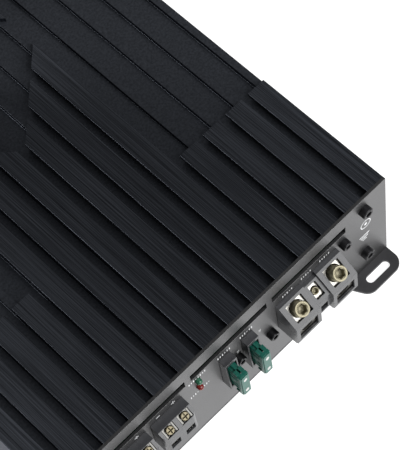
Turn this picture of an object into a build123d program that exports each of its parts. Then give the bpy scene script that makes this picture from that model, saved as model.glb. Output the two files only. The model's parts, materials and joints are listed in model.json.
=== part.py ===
"""Two-channel car amplifier: finned casing, end panels, terminals, fuses and circuit board.

Millimetres, +Z up. The origin is at the bottom centre of the casing.
The terminal panel faces -Y and the heat sink fins run along Y.
"""
from build123d import *
from math import cos, radians, sin
import os

os.makedirs("parts", exist_ok=True)

# casing
WIDTH = 199.0
LENGTH = 360.0
PLATE_T = 1.6
PANEL_T = 1.5
PANEL_H = 69.6
WALL_T = 4.0
TOP_Z = PLATE_T + PANEL_H
FRONT_Y = -LENGTH / 2
REAR_Y = LENGTH / 2
SINK_LENGTH = LENGTH - 2 * PANEL_T

# heat sink fins
FIN_PITCH = 14.5
FIN_W = 10.24
FLANGE_T = 2.2
WEB_W = 3.7
CENTRE_GAP = 4.84
FINS_PER_SIDE = 7
VALLEY_DEPTH = 5.5
ROOF_T = 3.9
LOW_DEPTH = 2.7
ROOF_Z = TOP_Z - VALLEY_DEPTH - ROOF_T
RAISED_LENGTH = 75.7
V_HALF_WIDTH = 43.8
V_NECK = 7.7
V_REACH = 50.5

# feet and their slots
FOOT_REACH = 11.5
FOOT_W = 29.0
FOOT_ROUND = 6.0
SLOT_W = 4.4
SLOT_SPAN = 14.4
SLOT_X = 87.3
SLOT_OUT = 5.7

# casing screws
RAIL_R = 3.8
CORNER_X = 85.0
CORNER_DOWN = (9.6, 52.0)
SCREW_R = 1.25
HEAD_R = 2.3
HOUSING_HEAD_R = 2.65
CORNER_HEAD_R = 3.1
HEAD_H = 3.5
HOUSING_SCREWS = ((71.2, 22.0), (23.0, 41.5), (2.9, 34.6))
BOTTOM_SCREW_Y = (-165.0, -55.0, 55.0, 165.0)
BOTTOM_SCREW_X = 91.0

# panel vents
VENT_SPAN = 46.6
VENT_PITCH = 50.0
VENT_H = 5.3
VENT_DOWN = 12.3

# circuit board
BOARD_DOWN = 20.4
BOARD_T = 1.6
BOARD_HALF_W = 94.3
BOARD_FRONT = FRONT_Y + 2.6
BOARD_REAR = REAR_Y - 2.6
BOARD_Z = TOP_Z - BOARD_DOWN
STANDOFFS_XY = [(x, y) for x in (-72, 0, 72) for y in (-150, 0, 150)]

# power terminal
POWER_X = 47.5
POWER_W = 39.0
POWER_TOP = 21.5
POWER_BOTTOM = 44.3
SLANT = 35.0
BIG_CELL_W = 15.4
SMALL_CELL_W = 8.0
CELL_OFFSET = 11.8
SHELL_T = 1.2
BIG_REACH = 12.6
SMALL_REACH = 10.6
SMALL_TOP = 23.4
SMALL_BOTTOM = 42.3
LEDGE = 2.2
LOWER_CHAMFER = 1.5
BLOCK_DEPTH = 3.8
BIG_WIRE_DOWN = 36.6
SMALL_WIRE_DOWN = 36.8
SET_SCREW_R = 3.9
SMALL_SET_SCREW_R = 1.9
FIT = 0.05

# speaker terminals
SPEAKER_X = (-39.3, -61.0)
SPEAKER_W = 18.8
SPEAKER_PITCH = 8.9
SPEAKER_TOP = 20.8
SPEAKER_REACH = 9.1
SPEAKER_LEDGE = 4.8
SPEAKER_BOTTOM = 40.0
SPEAKER_ROUND = 3.0
SPEAKER_WIRE_DOWN = 33.7
CLAMP_SCREW_R = 1.75
CLAMP_HEAD_R = 2.1

# fuses
FUSE_X = (-3.95, 9.75)
FUSE_DOWN = 33.6
FUSE_W = 5.1
FUSE_H = 19.1
FUSE_REACH = 12.4
FUSE_HEAD_T = 2.4
HOLDER_W = 7.0
HOLDER_H = 23.8
HOLDER_REACH = 5.2
HOLDER_TOP_REACH = 4.2
BLADE_W = 5.2
BLADE_T = 0.65
BLADE_GAP = 9.4

# lights
LIGHT_X = -20.1
LIGHT_DOWN = (19.9, 26.2)
LIGHT_R = 1.5
LIGHT_NOTCH = 9.0

# power parts inside
CLAMP_Z = 34.0
TRANSISTORS_PER_SIDE = 8
TRANSISTOR_PITCH = 30.0
TOROID_R = 26.0
TOROID_HOLE_R = 10.0
TOROID_H = 24.0
TOROIDS_Y = (-92.0, -34.0)
BIG_CAP_R = 11.0
BIG_CAP_H = 38.0
SMALL_CAP_R = 6.0
SMALL_CAP_H = 20.0
COIL_R = 13.0
COIL_H = 14.0

# control panel at the rear
JACK_X = -55.0
JACK_PITCH = 15.0
JACK_R = 4.15
JACK_ROOT_R = 3.6
JACK_REACH = 8.5
POT_XS = {"gain_knob": -8.0, "crossover_knob": 14.0, "bass_knob": 36.0}
POT_DOWN = 30.0
KNOB_R = 3.4
SWITCH_XS = {"mode_switch_slider": 54.0, "boost_switch_slider": 68.0}
SWITCH_TRAVEL = 2.0
PORT_X = 83.0


def down(distance):
    """Height of a point at a distance below the panel's top edge."""
    return TOP_Z - distance


def box(xs, ys, zs):
    """Box between two corners, given as (low, high) pairs in any order."""
    size = [abs(pair[1] - pair[0]) for pair in (xs, ys, zs)]
    centre = [(pair[0] + pair[1]) / 2 for pair in (xs, ys, zs)]
    return Pos(*centre) * Box(*size)


def wide(centre, width):
    """Low and high end of a width about a centre."""
    return (centre - width / 2, centre + width / 2)


def rod(start, direction, radius, length):
    """Cylinder from a start point along a direction."""
    plane = Plane(origin=start, z_dir=direction)
    return plane * Cylinder(radius, length, align=(Align.CENTER, Align.CENTER, Align.MIN))


def along(start, direction, distance):
    """Point at a distance from a start along a direction."""
    return tuple(s + d * distance for s, d in zip(start, direction))


def hexagon(start, direction, across, length):
    """Hexagonal prism from a start point along a direction."""
    plane = Plane(origin=start, z_dir=direction)
    return extrude(plane * RegularPolygon(across / 2, 6, major_radius=False), length)


def side_prism(points, xs):
    """Prism along X, from an outline of (Y, Z) points."""
    outline = Polyline(*[(xs[0], y, z) for y, z in points], close=True)
    return extrude(make_face(outline), abs(xs[1] - xs[0]), dir=(1, 0, 0))


def cap_screw(start, direction, length, head_r=HEAD_R):
    """Socket-head cap screw: its head lies behind the start point, its shank ahead."""
    back = tuple(-d for d in direction)
    head = rod(start, back, head_r, HEAD_H)
    shank = rod(start, direction, SCREW_R, length)
    socket = hexagon(along(start, back, HEAD_H), direction, 2.0, 1.6)
    return head + shank - socket


def save(name, shape):
    """Write one node; a list becomes a group of separate solids."""
    if isinstance(shape, (list, tuple)):
        shape = Compound(children=list(shape))
    export_step(shape, f"parts/{name}.step")


# ---------------------------------------------------------------- casing

def fin_spans():
    """Low and high X of each fin."""
    spans = []
    for side in (-1, 1):
        for k in range(FINS_PER_SIDE):
            inner = CENTRE_GAP / 2 + k * FIN_PITCH
            outer = min(inner + FIN_W, WIDTH / 2)
            spans.append(sorted((side * inner, side * outer)))
    return sorted(spans)


def low_area():
    """Solid that mills the middle of the fin pattern down to its lower level."""
    side = RAISED_LENGTH + FRONT_Y
    depth = (TOP_Z - LOW_DEPTH, TOP_Z + 1)
    cut = box((V_HALF_WIDTH, WIDTH), (side, -side), depth)
    cut += box((-V_HALF_WIDTH, -WIDTH), (side, -side), depth)
    lozenge = [(V_HALF_WIDTH, V_NECK), (0, V_REACH), (-V_HALF_WIDTH, V_NECK)]
    lozenge += [(-V_HALF_WIDTH, -V_NECK), (0, -V_REACH), (V_HALF_WIDTH, -V_NECK)]
    outline = Pos(0, 0, depth[0]) * make_face(Polyline(*lozenge, close=True))
    return cut + extrude(outline, LOW_DEPTH + 1)


def heat_sink():
    """Extruded casing: roof with fins, two walls and the screw rails."""
    length = (-SINK_LENGTH / 2, SINK_LENGTH / 2)
    valley_z = TOP_Z - VALLEY_DEPTH
    body = box((-WIDTH / 2, WIDTH / 2), length, (ROOF_Z, valley_z))
    for side in (-1, 1):
        outer = side * WIDTH / 2
        body += box((outer, outer - side * WALL_T), length, (PLATE_T, valley_z))
        body += box((outer, side * (BOTTOM_SCREW_X - RAIL_R)), length, (PLATE_T, PLATE_T + 6))
        rail_z = down(CORNER_DOWN[1])
        body += box((outer, side * CORNER_X), length, (rail_z - 2, rail_z + 2))
        for distance in CORNER_DOWN:
            body += rod((side * CORNER_X, length[0], down(distance)), (0, 1, 0), RAIL_R, SINK_LENGTH)
    for low, high in fin_spans():
        web = (high - WEB_W, high) if high > 0 else (low, low + WEB_W)
        body += box((low, high), length, (TOP_Z - FLANGE_T, TOP_Z))
        body += box(web, length, (valley_z, TOP_Z))
    body -= low_area()
    for side in (-1, 1):
        for distance in CORNER_DOWN:
            for y, inward in ((length[0], 1), (length[1], -1)):
                body -= rod((side * CORNER_X, y, down(distance)), (0, inward, 0), SCREW_R, 12)
        for y in BOTTOM_SCREW_Y:
            body -= rod((side * BOTTOM_SCREW_X, y, PLATE_T), (0, 0, 1), SCREW_R, 5)
        for y in clamp_screw_ys():
            body -= rod((side * (WIDTH / 2 - WALL_T), y, CLAMP_Z), (side, 0, 0), SCREW_R, 2.5)
    for x, y in STANDOFFS_XY:
        body -= rod((x, y, ROOF_Z), (0, 0, 1), SCREW_R, 2.5)
    return body


def clamp_screw_ys():
    """Places of the screws between the transistors of one row."""
    half = TRANSISTORS_PER_SIDE / 2
    return [(k - half) * TRANSISTOR_PITCH for k in range(1, TRANSISTORS_PER_SIDE)]


def vented_panel(face_y, inward):
    """Blank end panel with its three vent slots and four corner screw holes."""
    ys = (face_y, face_y + inward * PANEL_T)
    panel = box((-WIDTH / 2, WIDTH / 2), ys, (PLATE_T, TOP_Z))
    for k in (-1, 0, 1):
        panel -= box(wide(k * VENT_PITCH, VENT_SPAN), ys, wide(down(VENT_DOWN), VENT_H))
    for side in (-1, 1):
        for distance in CORNER_DOWN:
            panel -= rod((side * CORNER_X, face_y, down(distance)), (0, inward, 0), SCREW_R, PANEL_T)
    return panel


def front_panel():
    """Terminal panel, with an opening for each housing and light."""
    panel = vented_panel(FRONT_Y, 1)
    ys = (FRONT_Y, FRONT_Y + PANEL_T)
    panel -= box(wide(POWER_X, POWER_W + 0.2), ys, (down(POWER_TOP - 0.1), down(POWER_BOTTOM + 0.1)))
    for x in SPEAKER_X:
        panel -= box(wide(x, SPEAKER_W + 0.2), ys, (down(SPEAKER_TOP - 0.1), down(SPEAKER_BOTTOM + 0.1)))
    for x in FUSE_X:
        panel -= box(wide(x, HOLDER_W + 0.2), ys, wide(down(FUSE_DOWN), HOLDER_H + 0.2))
    for distance in LIGHT_DOWN:
        panel -= rod((LIGHT_X, FRONT_Y, down(distance)), (0, 1, 0), LIGHT_R + 0.1, PANEL_T)
    for x, distance in HOUSING_SCREWS:
        panel -= rod((x, FRONT_Y, down(distance)), (0, 1, 0), SCREW_R, PANEL_T)
    return panel


def rear_panel():
    """Control panel, with an opening for each jack, knob, switch and port."""
    panel = vented_panel(REAR_Y, -1)
    ys = (REAR_Y, REAR_Y - PANEL_T)
    for x, z in jack_places():
        panel -= rod((x, REAR_Y, z), (0, -1, 0), JACK_R + 0.4, PANEL_T)
    for x in POT_XS.values():
        panel -= rod((x, REAR_Y, down(POT_DOWN)), (0, -1, 0), KNOB_R + 0.4, PANEL_T)
    for x in SWITCH_XS.values():
        panel -= box(wide(x, 3.4 + 2 * SWITCH_TRAVEL), ys, wide(down(POT_DOWN), 4.4))
    panel -= box(wide(PORT_X, 11.6), ys, wide(down(POT_DOWN), 9.6))
    return panel


def bottom_plate():
    """Bottom sheet with a slotted foot at each corner and the screw holes."""
    thickness = (0, PLATE_T)
    plate = box((-WIDTH / 2, WIDTH / 2), (FRONT_Y, REAR_Y), thickness)
    for side in (-1, 1):
        for end in (-1, 1):
            plate += foot(side, end)
            slot = Pos(side * SLOT_X, end * (REAR_Y + SLOT_OUT), 0) * SlotOverall(SLOT_SPAN, SLOT_W)
            plate -= extrude(slot, PLATE_T)
        for y in BOTTOM_SCREW_Y:
            plate -= rod((side * BOTTOM_SCREW_X, y, 0), (0, 0, 1), SCREW_R, PLATE_T)
            plate -= rod((side * BOTTOM_SCREW_X, y, 0), (0, 0, 1), HEAD_R, PLATE_T / 2)
    return plate


def foot(side, end):
    """One flat foot: rounded outer corner, sloping inner end."""
    outer = side * WIDTH / 2
    face = end * REAR_Y
    tip = end * (REAR_Y + FOOT_REACH)
    outline = Polyline(
        (outer, face), (outer, tip), (outer - side * (FOOT_W - 6), tip),
        (outer - side * FOOT_W, face), close=True)
    solid = extrude(make_face(outline), PLATE_T)
    corners = solid.edges().filter_by(Axis.Z)
    rounded = [e for e in corners if abs(e.center().Y - tip) < 0.1]
    return fillet(rounded, FOOT_ROUND)


def casing_screws(face_y, inward, extra=()):
    """Cap screws of one end panel."""
    places = [(side * CORNER_X, distance, CORNER_HEAD_R) for side in (-1, 1) for distance in CORNER_DOWN]
    places += [(x, distance, HOUSING_HEAD_R) for x, distance in extra]
    return [cap_screw((x, face_y, down(distance)), (0, inward, 0), 8, head_r)
            for x, distance, head_r in places]


def bottom_screws():
    """Low-head screws under the bottom plate, sunk flush with it."""
    screws = []
    for side in (-1, 1):
        for y in BOTTOM_SCREW_Y:
            start = (side * BOTTOM_SCREW_X, y, 0.05)
            screw = rod(start, (0, 0, 1), HEAD_R, PLATE_T / 2 - 0.05)
            screw += rod(start, (0, 0, 1), SCREW_R, 6)
            screws.append(screw - hexagon(start, (0, 0, 1), 1.6, 0.6))
    return screws


# ---------------------------------------------------------------- circuit board

def main_board():
    """Circuit board that hangs below the roof, parts side down."""
    board = box((-BOARD_HALF_W, BOARD_HALF_W), (BOARD_FRONT, BOARD_REAR), (BOARD_Z, BOARD_Z + BOARD_T))
    for x, y in STANDOFFS_XY:
        board -= rod((x, y, BOARD_Z), (0, 0, 1), SCREW_R, BOARD_T)
    light_notch = box(wide(LIGHT_X, 5), (BOARD_FRONT, FRONT_Y + LIGHT_NOTCH), (BOARD_Z, BOARD_Z + BOARD_T))
    return board - light_notch


def standoffs():
    """Spacers between the board and the roof."""
    spacers = []
    for x, y in STANDOFFS_XY:
        spacer = rod((x, y, BOARD_Z + BOARD_T), (0, 0, 1), 3.5, ROOF_Z - BOARD_Z - BOARD_T)
        spacers.append(spacer - rod((x, y, BOARD_Z), (0, 0, 1), SCREW_R, 20))
    return spacers


def board_screws():
    """Screws that hold the board up against its spacers."""
    length = ROOF_Z - BOARD_Z + 2
    return [cap_screw((x, y, BOARD_Z), (0, 0, 1), length) for x, y in STANDOFFS_XY]


# ---------------------------------------------------------------- power terminal

SCREW_AXIS = (0, -sin(radians(SLANT)), cos(radians(SLANT)))
SLANT_RATIO = sin(radians(SLANT)) / cos(radians(SLANT))


def slanted_outline(top, ledge, reach, bottom, inset=0.0):
    """(Y, Z) outline of a slant-topped housing in front of the panel."""
    drop = (reach - ledge) * SLANT_RATIO
    return [
        (FRONT_Y + 6, down(top + inset)),
        (FRONT_Y - ledge, down(top + inset)),
        (FRONT_Y - reach + inset, down(top + drop + inset * SLANT_RATIO)),
        (FRONT_Y - reach + inset, down(bottom - inset - LOWER_CHAMFER)),
        (FRONT_Y - reach + inset + LOWER_CHAMFER, down(bottom - inset)),
        (FRONT_Y + 6, down(bottom - inset)),
    ]


class Cell:
    """One wire position of the power terminal: its place, outline and set screw."""

    def __init__(self, name, x, big, proud):
        self.name = name
        self.x = x
        self.big = big
        self.proud = proud
        self.width = BIG_CELL_W if big else SMALL_CELL_W
        self.reach = BIG_REACH if big else SMALL_REACH
        self.top = POWER_TOP if big else SMALL_TOP
        self.bottom = POWER_BOTTOM if big else SMALL_BOTTOM
        self.screw_r = SET_SCREW_R if big else SMALL_SET_SCREW_R
        self.screw_length = 9.5 if big else 5.0
        self.wire_down = BIG_WIRE_DOWN if big else SMALL_WIRE_DOWN
        self.bore_r = 3.4 if big else 1.9
        self.mouth = (11.2, 8.7) if big else (4.2, 5.4)
        self.pocket = (9.8, 9.3) if big else (4.8, 7.4)

    def slant_point(self, height=0.0):
        """Point on the screw's axis, at a height above the middle of the slanted face."""
        half = (self.reach - LEDGE) / 2
        middle = (self.x, FRONT_Y - LEDGE - half, down(self.top + half * SLANT_RATIO))
        return along(middle, SCREW_AXIS, height)


CELLS = [
    Cell("supply", POWER_X - CELL_OFFSET, True, 3.0),
    Cell("remote", POWER_X, False, -1.5),
    Cell("ground", POWER_X + CELL_OFFSET, True, 4.2),
]


def power_terminal_housing():
    """Housing with two tall cells and a smaller one between them."""
    outline = slanted_outline(SMALL_TOP, LEDGE, SMALL_REACH, SMALL_BOTTOM)
    shell = side_prism(outline, wide(POWER_X, POWER_W))
    shell += box(wide(POWER_X, POWER_W), (FRONT_Y, FRONT_Y + 6), (down(POWER_TOP), down(POWER_BOTTOM)))
    for cell in CELLS:
        if cell.big:
            outline = slanted_outline(cell.top, LEDGE, cell.reach, cell.bottom)
            shell += side_prism(outline, wide(cell.x, cell.width))
    shell += box(wide(POWER_X, POWER_W), (FRONT_Y + 6, FRONT_Y + 12), (BOARD_Z, down(POWER_BOTTOM)))
    for cell in CELLS:
        inner = wide(cell.x, cell.width - 2 * SHELL_T)
        hollow = slanted_outline(cell.top + SHELL_T, LEDGE + SHELL_T, cell.reach, cell.bottom, SHELL_T)
        shell -= side_prism(hollow, inner)
        shell -= box(inner, (FRONT_Y + 6, FRONT_Y + 10.8), (BOARD_Z, down(POWER_BOTTOM - SHELL_T)))
        shell -= screw_pocket(cell)
        shell -= wire_mouth(cell)
    return shell


def screw_pocket(cell):
    """Screw opening through a slanted face, a little nearer its upper edge."""
    plane = Plane(origin=cell.slant_point(), x_dir=(1, 0, 0), z_dir=SCREW_AXIS)
    return plane * Pos(0, 0.35, 0) * Box(*cell.pocket, 8)


def wire_mouth(cell):
    """Rectangular wire opening in a cell's front face."""
    width, height = cell.mouth
    ys = (FRONT_Y - cell.reach - 1, FRONT_Y - cell.reach + 4)
    return box(wide(cell.x, width), ys, wide(down(cell.wire_down), height))


def terminal_block(cell):
    """Plated block: wire bore along Y, slanted set screw hole, tail into the board."""
    gap = 0.2
    inner = cell.width - 2 * SHELL_T - 2 * gap
    top = cell.top + BLOCK_DEPTH
    outline = slanted_outline(top, LEDGE + 1.6, cell.reach - gap, cell.bottom - gap, SHELL_T + gap)
    block = side_prism(outline, wide(cell.x, inner))
    block += box(wide(cell.x, inner * 0.6), (FRONT_Y + 6, FRONT_Y + 8), (BOARD_Z, down(40)))
    block -= rod((cell.x, FRONT_Y - 20, down(cell.wire_down)), (0, 1, 0), cell.bore_r, 23)
    depth = 13.0 if cell.big else 11.0
    return block - rod(cell.slant_point(-depth), SCREW_AXIS, cell.screw_r + FIT, 30)


def set_screw(cell):
    """Hex socket set screw of one cell."""
    top = cell.slant_point(cell.proud)
    start = cell.slant_point(cell.proud - cell.screw_length)
    inward = tuple(-d for d in SCREW_AXIS)
    screw = rod(start, SCREW_AXIS, cell.screw_r, cell.screw_length)
    return screw - hexagon(top, inward, cell.screw_r * 1.1, cell.screw_length * 0.5)


# ---------------------------------------------------------------- speaker terminals

def speaker_places():
    """Centre X of each of the four wire positions."""
    return [x + side * SPEAKER_PITCH / 2 for x in SPEAKER_X for side in (-1, 1)]


def speaker_outline(inset=0.0):
    """(Y, Z) outline of a speaker terminal."""
    return slanted_outline(SPEAKER_TOP, SPEAKER_LEDGE, SPEAKER_REACH, SPEAKER_BOTTOM, inset)


def speaker_slant(x):
    """Middle of the slanted face over one wire position."""
    half = (SPEAKER_REACH - SPEAKER_LEDGE) / 2
    return (x, FRONT_Y - SPEAKER_LEDGE - half, down(SPEAKER_TOP + half * SLANT_RATIO))


def speaker_housing(x):
    """Two-position housing: screw pockets in its slant, wire openings below."""
    shell = side_prism(speaker_outline(), wide(x, SPEAKER_W))
    shell &= rounded_front(x)
    shell += box(wide(x, SPEAKER_W), (FRONT_Y + 6, FRONT_Y + 10), (BOARD_Z, down(SPEAKER_BOTTOM)))
    for side in (-1, 1):
        cell = x + side * SPEAKER_PITCH / 2
        shell -= box(wide(cell, 6.6), (FRONT_Y - SPEAKER_REACH + 1, FRONT_Y + 4), (down(23.8), down(38)))
        ys = (FRONT_Y - SPEAKER_REACH - 1, FRONT_Y)
        shell -= box(wide(cell, 5.3), ys, wide(down(SPEAKER_WIRE_DOWN), 5.0))
        plane = Plane(origin=speaker_slant(cell), x_dir=(1, 0, 0), z_dir=SCREW_AXIS)
        shell -= plane * Box(6.6, 4.9, 9)
        shell -= box(wide(cell, 3.4), (FRONT_Y + 2.8, FRONT_Y + 3.8), (down(30), BOARD_Z))
    return shell


def rounded_front(x):
    """Upright prism whose two front corners are rounded in plan."""
    depth = 30.0
    plan = RectangleRounded(SPEAKER_W, depth, SPEAKER_ROUND)
    return Pos(x, FRONT_Y - SPEAKER_REACH + depth / 2, down(50)) * extrude(plan, 50)


def speaker_clamp(x):
    """Plated cage that the screw draws onto the wire, with its tail into the board."""
    front = FRONT_Y - SPEAKER_REACH + 1.3
    outer = box(wide(x, 6.2), (front, FRONT_Y + 3.6), (down(24.0), down(37.6)))
    cage = outer - box(wide(x, 4.6), (front - 1, FRONT_Y + 9), (down(28.2), down(36.6)))
    cage += box(wide(x, 3.0), (FRONT_Y + 3.0, FRONT_Y + 3.6), (down(28.2), BOARD_Z))
    centre = speaker_slant(x)
    cage -= rod(along(centre, SCREW_AXIS, -9), SCREW_AXIS, CLAMP_SCREW_R + FIT, 16)
    return cage - rod(along(centre, SCREW_AXIS, -3.2), SCREW_AXIS, CLAMP_HEAD_R + 0.1, 9)


def speaker_screw(x):
    """Cross-head clamp screw."""
    top = along(speaker_slant(x), SCREW_AXIS, 0.4)
    head = along(top, SCREW_AXIS, -1.8)
    screw = rod(head, SCREW_AXIS, CLAMP_HEAD_R, 1.8)
    screw += rod(along(top, SCREW_AXIS, -6.5), SCREW_AXIS, CLAMP_SCREW_R, 6)
    plane = Plane(origin=top, x_dir=(1, 0, 0), z_dir=SCREW_AXIS)
    screw -= plane * Box(3.2, 0.7, 1.6)
    return screw - plane * Box(0.7, 3.2, 1.6)


# ---------------------------------------------------------------- fuses

def fuse_holder(x):
    """Open-fronted holder with a pocket for the fuse body and slits for its blades."""
    low, high = wide(down(FUSE_DOWN), HOLDER_H)
    back = FRONT_Y + 14
    outline = [(back, low), (back, high), (FRONT_Y - HOLDER_TOP_REACH, high), (FRONT_Y - HOLDER_REACH, low)]
    holder = side_prism(outline, wide(x, HOLDER_W))
    holder += box(wide(x, HOLDER_W), (FRONT_Y + 10, back), (high, BOARD_Z))
    holder -= box(wide(x, FUSE_W + 0.4), (FRONT_Y - HOLDER_REACH, FRONT_Y + 1.4),
                  wide(down(FUSE_DOWN), FUSE_H + 0.8))
    for z_blade in blade_heights():
        holder -= box(wide(x, 3.4), (FRONT_Y, FRONT_Y + 12), wide(z_blade, BLADE_W + 1.6))
    return holder


def blade_heights():
    """Heights of a fuse's two blades."""
    return [down(FUSE_DOWN) + side * (BLADE_GAP / 2 + BLADE_W / 2) * 0.95 for side in (-1, 1)]


def fuse_contacts(x):
    """Pairs of contact strips on both sides of each blade."""
    strips = []
    for z_blade in blade_heights():
        for side in (-1, 1):
            inner = x + side * (BLADE_T / 2 + 0.1)
            outer = x + side * 1.4
            strips.append(box((inner, outer), (FRONT_Y + 2, FRONT_Y + 11.8), wide(z_blade, BLADE_W + 1.0)))
    return strips


def fuse_body(x):
    """Plastic body: a wide head, and a narrower stem that seats in the holder."""
    z = down(FUSE_DOWN)
    front = FRONT_Y - FUSE_REACH
    head_back = front + FUSE_HEAD_T
    body = box(wide(x, FUSE_W), (front, head_back), wide(z, FUSE_H))
    body += box(wide(x, FUSE_W - 1.0), (head_back, FRONT_Y + 1.0), wide(z, FUSE_H - 3.6))
    for z_blade in blade_heights():
        body -= box(wide(x, BLADE_T + 0.1), (front + 1, FRONT_Y + 2), wide(z_blade, BLADE_W + 0.1))
        body -= rod((x, front, z_blade), (0, 1, 0), 0.9, 1.0)
    bridge = wide(z, blade_heights()[1] - blade_heights()[0])
    return body - box(wide(x, BLADE_T + 0.1), (FRONT_Y - 8.1, FRONT_Y - 5.9), bridge)


def fuse_element(x):
    """Metal of the fuse: two blades joined by a thin link inside the body."""
    z_low, z_high = blade_heights()
    blade_ys = (FRONT_Y - FUSE_REACH + 1, FRONT_Y + 7.5)
    metal = box(wide(x, BLADE_T), (FRONT_Y - 8, FRONT_Y - 6), (z_low, z_high))
    for z_blade in (z_low, z_high):
        metal += box(wide(x, BLADE_T), blade_ys, wide(z_blade, BLADE_W))
    return metal


def light(distance):
    """Panel light: domed lens, flanged base and two leads up to the board."""
    z = down(distance)
    lamp = rod((LIGHT_X, FRONT_Y - 1.0, z), (0, 1, 0), LIGHT_R, 4.2)
    lamp += Pos(LIGHT_X, FRONT_Y - 1.0, z) * Sphere(LIGHT_R)
    lamp += rod((LIGHT_X, FRONT_Y + PANEL_T + 0.2, z), (0, 1, 0), LIGHT_R + 0.4, 1.0)
    level_with_board = z > BOARD_Z
    lead_y = FRONT_Y + LIGHT_NOTCH + (0 if level_with_board else 2.4)
    for side in (-1, 1):
        x = LIGHT_X + side * 0.7
        lamp += box(wide(x, 0.5), (FRONT_Y + 3.0, lead_y), wide(z, 0.5))
        if not level_with_board:
            lamp += box(wide(x, 0.5), wide(lead_y, 0.5), (z - 0.25, BOARD_Z))
    return lamp


# ---------------------------------------------------------------- parts on the board

def transistor_ys():
    """Places of the transistors of one row."""
    half = (TRANSISTORS_PER_SIDE - 1) / 2
    return [(k - half) * TRANSISTOR_PITCH for k in range(TRANSISTORS_PER_SIDE)]


def wall_xs(side, near, far):
    """X span measured inward from a casing wall's inner face."""
    inner = WIDTH / 2 - WALL_T
    return (side * (inner - near), side * (inner - far))


def transistors(side):
    """Row of power transistors against one wall, with three leads each."""
    row = []
    for y in transistor_ys():
        body = box(wall_xs(side, 0.4, 5.4), wide(y, 15.6), (23.5, 44.0))
        for k in (-1, 0, 1):
            body += box(wall_xs(side, 2.2, 2.8), wide(y + k * 5.0, 1.2), (44.0, BOARD_Z))
        row.append(body)
    return row


def insulating_pad(side):
    """Thin insulating strip between a transistor row and the wall."""
    length = TRANSISTORS_PER_SIDE * TRANSISTOR_PITCH
    pad = box(wall_xs(side, 0, 0.4), (-length / 2, length / 2), (22.0, 46.0))
    for y in clamp_screw_ys():
        pad -= rod((side * 90, y, CLAMP_Z), (side, 0, 0), SCREW_R + 0.2, 9)
    return pad


def clamp_bar(side):
    """Steel bar that presses one transistor row to the wall."""
    length = TRANSISTORS_PER_SIDE * TRANSISTOR_PITCH - 10
    bar = box(wall_xs(side, 5.4, 8.4), (-length / 2, length / 2), wide(CLAMP_Z, 9))
    for y in clamp_screw_ys():
        bar -= rod((side * 80, y, CLAMP_Z), (side, 0, 0), SCREW_R, 12)
    return bar


def clamp_screws():
    """Screws of both clamp bars."""
    screws = []
    for side in (-1, 1):
        start_x = wall_xs(side, 8.4, 0)[0]
        for y in clamp_screw_ys():
            screws.append(cap_screw((start_x, y, CLAMP_Z), (side, 0, 0), 10.4))
    return screws


def toroid(y):
    """Wound ring core, as one solid ring under the board."""
    ring = rod((0, y, BOARD_Z - TOROID_H), (0, 0, 1), TOROID_R, TOROID_H)
    ring -= rod((0, y, BOARD_Z - TOROID_H), (0, 0, 1), TOROID_HOLE_R, TOROID_H)
    rims = ring.edges().filter_by(GeomType.CIRCLE)
    return fillet(rims, 5.0)


def toroid_washer(y):
    """Disc and stud that clamp a ring core to the board."""
    z = BOARD_Z - TOROID_H
    washer = rod((0, y, z - 1.6), (0, 0, 1), 13.0, 1.6)
    return washer + rod((0, y, z), (0, 0, 1), 2.0, TOROID_H)


def capacitors(places, radius, height):
    """Upright cans under the board."""
    cans = []
    for x, y in places:
        can = rod((x, y, BOARD_Z - height), (0, 0, 1), radius, height)
        rim = can.edges().filter_by(GeomType.CIRCLE).sort_by(Axis.Z)[0]
        cans.append(fillet(rim, radius * 0.12))
    return cans


def output_coils():
    """Output filter coils, one per channel."""
    coils = []
    for x in (-50, -20):
        ring = rod((x, -128, BOARD_Z - COIL_H), (0, 0, 1), COIL_R, COIL_H)
        ring -= rod((x, -128, BOARD_Z - COIL_H), (0, 0, 1), 5.0, COIL_H)
        coils.append(fillet(ring.edges().filter_by(GeomType.CIRCLE), 3.0))
    return coils


# ---------------------------------------------------------------- rear controls

def jack_places():
    """X and Z of the four signal jacks."""
    xs = [JACK_X + side * JACK_PITCH / 2 for side in (-1, 1)]
    zs = [down(30.5), down(30.5 + JACK_PITCH)]
    return [(x, z) for x in xs for z in zs]


def jack_housing():
    """Insulating block behind the panel that carries the four jacks."""
    block = box(wide(JACK_X, 29), (REAR_Y - PANEL_T - 0.2, REAR_Y - 16), (BOARD_Z, down(54)))
    for x, z in jack_places():
        block -= rod((x, REAR_Y - 12, z), (0, 1, 0), JACK_ROOT_R, 12)
    return block


def jack_shells():
    """Metal sleeves of the jacks, wider outside the panel and open for the plug's pin."""
    shells = []
    for x, z in jack_places():
        start = (x, REAR_Y - 12, z)
        shell = rod(start, (0, 1, 0), JACK_ROOT_R, 12)
        shell += rod((x, REAR_Y, z), (0, 1, 0), JACK_R, JACK_REACH)
        shells.append(shell - rod(along(start, (0, 1, 0), 4), (0, 1, 0), 1.7, 30))
    return shells


def control_pots():
    """Bodies of the three rotary controls."""
    pots = []
    for x in POT_XS.values():
        z = down(POT_DOWN)
        pot = box(wide(x, 10), (REAR_Y - PANEL_T - 3.4, REAR_Y - 15), (BOARD_Z, z - 5.5))
        pots.append(pot - rod((x, REAR_Y - 12, z), (0, 1, 0), 1.5 + FIT, 12))
    return pots


def knob(x):
    """Control knob with a screwdriver slot and its shaft."""
    z = down(POT_DOWN)
    cap = rod((x, REAR_Y - 4.5, z), (0, 1, 0), KNOB_R, 6.5)
    cap += rod((x, REAR_Y - 11.5, z), (0, 1, 0), 1.5, 8)
    return cap - box(wide(x, 4.6), (REAR_Y + 1, REAR_Y + 2), wide(z, 0.9))


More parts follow.
